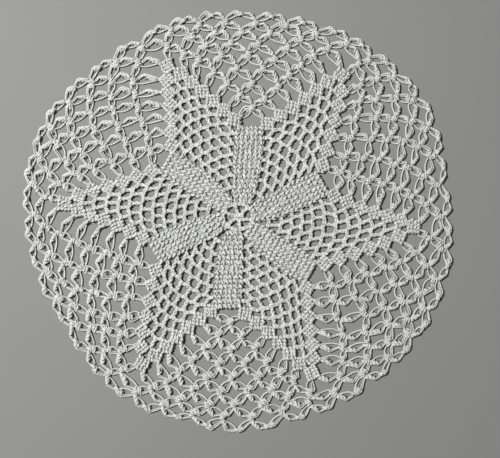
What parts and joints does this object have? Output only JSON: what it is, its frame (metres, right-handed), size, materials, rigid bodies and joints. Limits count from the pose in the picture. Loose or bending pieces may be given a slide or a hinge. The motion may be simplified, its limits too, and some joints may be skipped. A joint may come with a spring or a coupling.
{
  "type": "lace doily",
  "caption": "Round crocheted lace doily: a pointed mesh star with solid spokes and stepped edges, in a wide ring of open knotted loops.",
  "frame": {"origin": "centre of the bounding box, on the table face", "axes": "+Z up out of the table through the thickness, +Y up and +X right in the flat view of the lace's right side"},
  "size_m": [0.2562, 0.2532, 0.0027],
  "materials": {
    "white_cotton": "matte white crochet cotton"
  },
  "bodies": {
    "root": {"doily": "white_cotton"}
  },
  "joints": []
}
